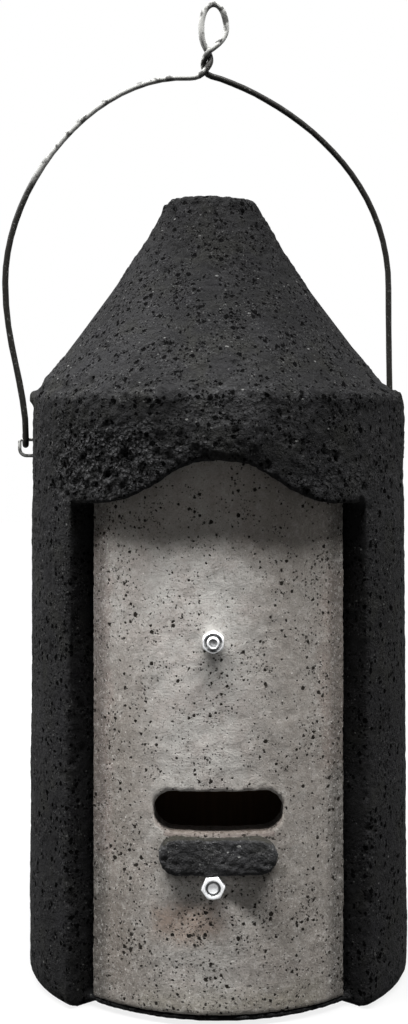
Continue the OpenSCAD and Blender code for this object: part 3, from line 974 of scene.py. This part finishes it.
class BATBOX_OT_panel(bpy.types.Operator):
    """Convex grey front panel with its round-ended slot and bolt holes"""

    bl_idname = "bat_box.panel"
    bl_label = "Front panel"

    def execute(self, context):
        s = context.scene.bat_panel
        low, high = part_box("front_panel")
        outer = -low.y
        thick = 13 * MM
        inner = outer - thick
        jamb = context.scene.bat_casting.jamb_angle
        ring = [(inner, low.z), (outer, low.z), (outer, high.z), (inner, high.z), (inner, low.z)]
        obj = lathe("front_panel", ring, steps=64, start=FRONT - jamb, turn=2 * jamb)
        front, back = -90 * MM, -20 * MM
        for side in (-1, 1):
            near = side * (high.x + 0.5 * MM)
            far = near + side * 30 * MM
            corner = [(near, front, -MM), (far, front, -MM), (far, back, -MM), (near, back, -MM)]
            cut(obj, prism("trim", corner, (0, 0, high.z + 2 * MM)))
        slot_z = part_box("landing_ledge")[1].z + MM + SLOT_HALF_H
        slot = capsule(SLOT_HALF_W, SLOT_HALF_H, slot_z, front, 16)
        cut(obj, prism("slot", slot, (0, 50 * MM, 0)))
        recast(obj, s.grain, 2)

        def rim(p):
            """The chipped edges of the panel and of its slot."""
            side = smoothstep(3 * MM, 0.5 * MM, high.x - abs(p.x))
            ends = smoothstep(28 * MM, 26 * MM, abs(p.x))
            return max(side, 0.15 * smoothstep(9.4 * MM, 8.2 * MM, abs(p.z - slot_z)) * ends)

        roughen(obj, 16, 0.7, mid=0.6)
        roughen(obj, 1.8, 1.0, weight(obj, "rim", rim), mid=0.55)
        roughen(obj, 2.2, 0.25, mid=0.6)
        finish_piece(obj, ("front_panel",), panel_material())
        return {"FINISHED"}


class BATBOX_OT_ledge(bpy.types.Operator):
    """Rough black landing ledge below the slot"""

    bl_idname = "bat_box.ledge"
    bl_label = "Landing ledge"

    def execute(self, context):
        low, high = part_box("landing_ledge")
        half_w, half_h = (high.x - low.x) / 2, (high.z - low.z) / 2 - 0.4 * MM
        z = (low.z + high.z) / 2 - 0.3 * MM
        back, front = -66.5 * MM, low.y + 1.9 * MM
        obj = prism("landing_ledge", capsule(half_w, half_h, z, back, 12), (0, front - back, 0))
        recast(obj, 0.7 * MM, 16)
        roughen(obj, 8, 1.2, mid=0.4)
        clump(obj, 2.6, 0.5)
        roughen(obj, 1.6, 0.6)
        finish_piece(obj, ("landing_ledge",),
                     woodcrete_material("ledge_woodcrete", light=2.5, pitted=0.45))
        return {"FINISHED"}


class BATBOX_OT_fasteners(bpy.types.Operator):
    """Two chamfered hexagon nuts and two threaded bolts with turned ends"""

    bl_idname = "bat_box.fasteners"
    bl_label = "Nuts and bolts"

    def execute(self, context):
        # The second material paints shade and dark reflections into the threads and hollows.
        materials = (zinc_material(), hollow_shade_material())
        for name, turn, sink, corners, cup in FASTENERS:
            nut, bolt = name + "_nut", name + "_bolt"
            low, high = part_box(nut)
            place = Vector(((low.x + high.x) / 2, high.y, (low.z + high.z) / 2))
            piece = self.make_nut(nut, materials, sink, corners)
            self.put(piece, place, turn)
            finish_piece(piece, (nut,))
            place.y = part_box(bolt)[1].y
            piece = self.make_bolt(bolt, materials, cup)
            self.put(piece, place, 0)
            finish_piece(piece, (bolt,))
        return {"FINISHED"}

    def thread(self, low, high, crest, root):
        """One crest and one root for every turn of the thread, from low to high."""
        points = []
        while low < high:
            points += [(crest, low), (root, low + PITCH / 2)]
            low += PITCH
        return points

    def make_nut(self, name, materials, sink, corners):
        """Nut on the upright axis, its corners turned and its bore countersunk to those radii."""
        low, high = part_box(name)
        tall = high.y - low.y
        flat = NUT_FLATS / 2
        obj = hexagon(name, flat / math.cos(HEX_TURN), tall)
        dome = [(0, -MM), (flat - 0.1 * MM, -MM), (flat, 0), (corners, 0.7 * MM),
                (corners, tall - 0.7 * MM), (flat - 0.2 * MM, tall), (0, tall)]
        cut(obj, lathe("dome", dome, steps=72), "INTERSECT")
        crest, root = 2.45 * MM, 2.75 * MM
        bore = [(0, -MM), (crest, -MM)] + self.thread(0.1 * MM, tall - 0.9 * MM, crest, root)
        bore += [(2.6 * MM, tall - 0.9 * MM), (sink, tall - 0.1 * MM), (sink, tall + MM),
                 (0, tall + MM)]
        cut(obj, lathe("bore", bore, steps=48))
        # Painted shade and dark reflections in the countersink and the threads.
        self.paint_hollow_shade(obj, materials,
                    lambda c: math.hypot(c.x, c.y) < sink - 0.02 * MM and c.z < tall - 0.05 * MM)
        finish_modifier(obj, "BEVEL", width=0.1 * MM, segments=2, limit_method="ANGLE",
                        angle_limit=math.radians(35))
        return obj

    def make_bolt(self, name, materials, cup):
        """Bolt on the upright axis, its head below, with painted shade and dark reflections in a
        cup of that radius at its end.
        """
        low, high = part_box(name)
        long = high.y - low.y
        head = (high.x - low.x) / 2
        flat = head * math.cos(HEX_TURN)
        r = BOLT_RADIUS
        start, end = long - 16 * MM, long - 2.2 * MM
        shank = [(0, 0.2 * MM), (flat - 0.6 * MM, 0.2 * MM), (flat - 0.2 * MM, MM),
                 (flat - 0.2 * MM, 3.9 * MM), (r, 4 * MM)]
        turns = self.thread(start, end, r, r - 0.32 * MM)
        dish = 0.3 * MM if cup else 0.05 * MM
        tip = [(r, turns[-1][1] + PITCH / 2)]
        for inwards, down in ((0.05, 0.9 * MM), (0.15, 0.5 * MM), (0.4, 0.15 * MM), (0.65, 0),
                              (0.8, 0.4 * dish), (1.3, 0.9 * dish)):
            tip.append((r - inwards * MM, long - down))
        tip.append((0, long - dish))
        obj = lathe(name, shank + turns + tip, steps=48)
        cut(obj, hexagon("head", head, 4 * MM), "UNION")
        self.paint_hollow_shade(obj, materials, lambda c: (start < c.z < long - 0.9 * MM
                                               or math.hypot(c.x, c.y) < cup and c.z > 5 * MM))
        return obj

    def paint_hollow_shade(self, obj, materials, test):
        """Give the faces whose middle passes the test the second material, the painted shade of the
        hollows.
        """
        set_materials(obj, *materials)
        for face in obj.data.polygons:
            face.material_index = 1 if test(face.center) else 0

    def put(self, obj, place, turn):
        """Lay the piece down with its top to the front, turn it and move it to its place."""
        activate(obj)
        obj.rotation_euler = (math.pi / 2, math.radians(turn), 0)
        obj.location = place
        bpy.ops.object.transform_apply(location=True, rotation=True)


class BATBOX_OT_hardware(bpy.types.Operator):
    """Zinc and wood finish of the sleeves, washers, staples and board"""

    bl_idname = "bat_box.hardware"
    bl_label = "Hardware"

    def execute(self, context):
        finishes = {"_board": board_material(), "_staple": staple_material()}
        finishes["_sleeve"] = finishes["_washer"] = zinc_material()
        for name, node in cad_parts.items():
            for ending, material in finishes.items():
                if name.endswith(ending):
                    set_materials(node, material)
        return {"FINISHED"}


class BATBOX_OT_hanger(bpy.types.Operator):
    """Hanger wire in one piece, with its hooks, twist and eye"""

    bl_idname = "bat_box.hanger"
    bl_label = "Hanger"

    def execute(self, context):
        deselect()
        for name in WIRE_NODES:
            obj = bpy.data.objects.new("hanger_wire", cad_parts[name].data.copy())
            context.collection.objects.link(obj)
            obj.select_set(True)
            if name == WIRE_NODES[0]:
                context.view_layer.objects.active = obj
        bpy.ops.object.join()
        obj = context.object
        edit_all()
        bpy.ops.mesh.remove_doubles(threshold=WELD)
        select_all("DESELECT")
        bpy.ops.mesh.select_interior_faces()
        bpy.ops.mesh.delete(type="FACE")
        set_mode("OBJECT")
        roughen(obj, 5, 0.25)
        finish_piece(obj, WIRE_NODES, wire_material(), body="hanger")
        return {"FINISHED"}


class BATBOX_OT_stage(bpy.types.Operator):
    """Pale floor, white surroundings, soft lights and the camera"""

    bl_idname = "bat_box.stage"
    bl_label = "Stage"

    def execute(self, context):
        s = context.scene.bat_stage
        deselect()
        bpy.ops.mesh.primitive_plane_add(size=6.0, location=(0, 0, -0.2 * MM))
        floor = context.object
        floor.name = "floor_plane"
        floor.data.materials.append(self.floor_material())
        self.add_lights(s)
        self.add_world(s)
        bpy.ops.object.camera_add(location=(0, -s.distance, s.height),
                                  rotation=(math.pi / 2, 0, 0))
        camera = context.object
        camera.data.lens = s.lens
        camera.data.shift_x = -0.014
        camera.data.shift_y = -0.082
        context.scene.camera = camera
        context.scene.view_settings.view_transform = "Standard"
        return {"FINISHED"}

    def floor_material(self):
        """Grey for bounced light, white to the eye, and whiter still far from the box."""
        m = Shader("pale_floor", roughness=1.0, specular=0.0)
        m.bsdf.inputs["Base Color"].default_value = (0.055, 0.055, 0.055, 1)
        glow = m.step(m.length(m.axis("X"), m.axis("Y")), 0.10, 0.45, 0.84, 1.0)
        m.bsdf.inputs["Emission Color"].default_value = (1, 1, 1, 1)
        m.link(m.times(m.seen(), glow), m.bsdf.inputs["Emission Strength"])
        return m.material

    def add_lights(self, s):
        """Long key over the front, side light on the left and rim light behind on the right."""
        aim = Vector((0, -0.07, 0.15))
        for name, place, wide, deep, power in (
                ("key", (-0.03, -0.308, 1.30), 1.5, 0.09, s.key_power),
                ("side", (-0.75, 0.18, 0.95), 0.7, 0.4, s.side_power),
                ("rim", (1.1, 0.35, 0.45), 0.8, 0.8, s.rim_power)):
            bpy.ops.object.light_add(type="AREA", location=place)
            light = bpy.context.object
            light.name = name
            light.data.shape = "RECTANGLE"
            light.data.size, light.data.size_y = wide, deep
            light.data.energy = power
            target = Vector((place[0], aim.y, aim.z)) if name == "key" else aim
            light.rotation_euler = (target - Vector(place)).to_track_quat("-Z", "Y").to_euler()

    def add_world(self, s):
        """Even dim light from all round, behind a white background."""
        world = bpy.data.worlds.new("studio")
        bpy.context.scene.world = world
        world.use_nodes = True
        n = Nodes(world.node_tree)
        back = n.tree.nodes["Background"]
        back.inputs["Color"].default_value = (1, 1, 1, 1)
        n.link(n.step(n.seen(), 0.0, 1.0, s.fill, 1.0), back.inputs["Strength"])


class BATBOX_PT_sidebar(bpy.types.Panel):
    """Buttons for every piece of the bat box"""

    bl_idname = "BATBOX_PT_sidebar"
    bl_label = "Bat box"
    bl_space_type = "VIEW_3D"
    bl_region_type = "UI"
    bl_category = "Bat box"

    def draw(self, context):
        for operator in OPERATORS:
            self.layout.operator(operator.bl_idname)
        for group in SETTINGS:
            settings = getattr(context.scene, group)
            for key in settings.__annotations__:
                self.layout.prop(settings, key)


OPERATORS = (
    BATBOX_OT_casting,
    BATBOX_OT_panel,
    BATBOX_OT_ledge,
    BATBOX_OT_fasteners,
    BATBOX_OT_hardware,
    BATBOX_OT_hanger,
    BATBOX_OT_stage,
)
SETTINGS = {
    "bat_casting": CastingSettings,
    "bat_panel": PanelSettings,
    "bat_wire": WireSettings,
    "bat_stage": StageSettings,
}
CLASSES = (*SETTINGS.values(), *OPERATORS, BATBOX_PT_sidebar)


def register():
    for cls in CLASSES:
        bpy.utils.register_class(cls)
    for name, cls in SETTINGS.items():
        setattr(bpy.types.Scene, name, bpy.props.PointerProperty(type=cls))


def unregister():
    for name in SETTINGS:
        delattr(bpy.types.Scene, name)
    for cls in reversed(CLASSES):
        bpy.utils.unregister_class(cls)


def main():
    register()
    for name in ("casting", "panel", "ledge", "fasteners", "hardware", "hanger", "stage"):
        getattr(bpy.ops.bat_box, name)()


if __name__ == "__main__":
    main()
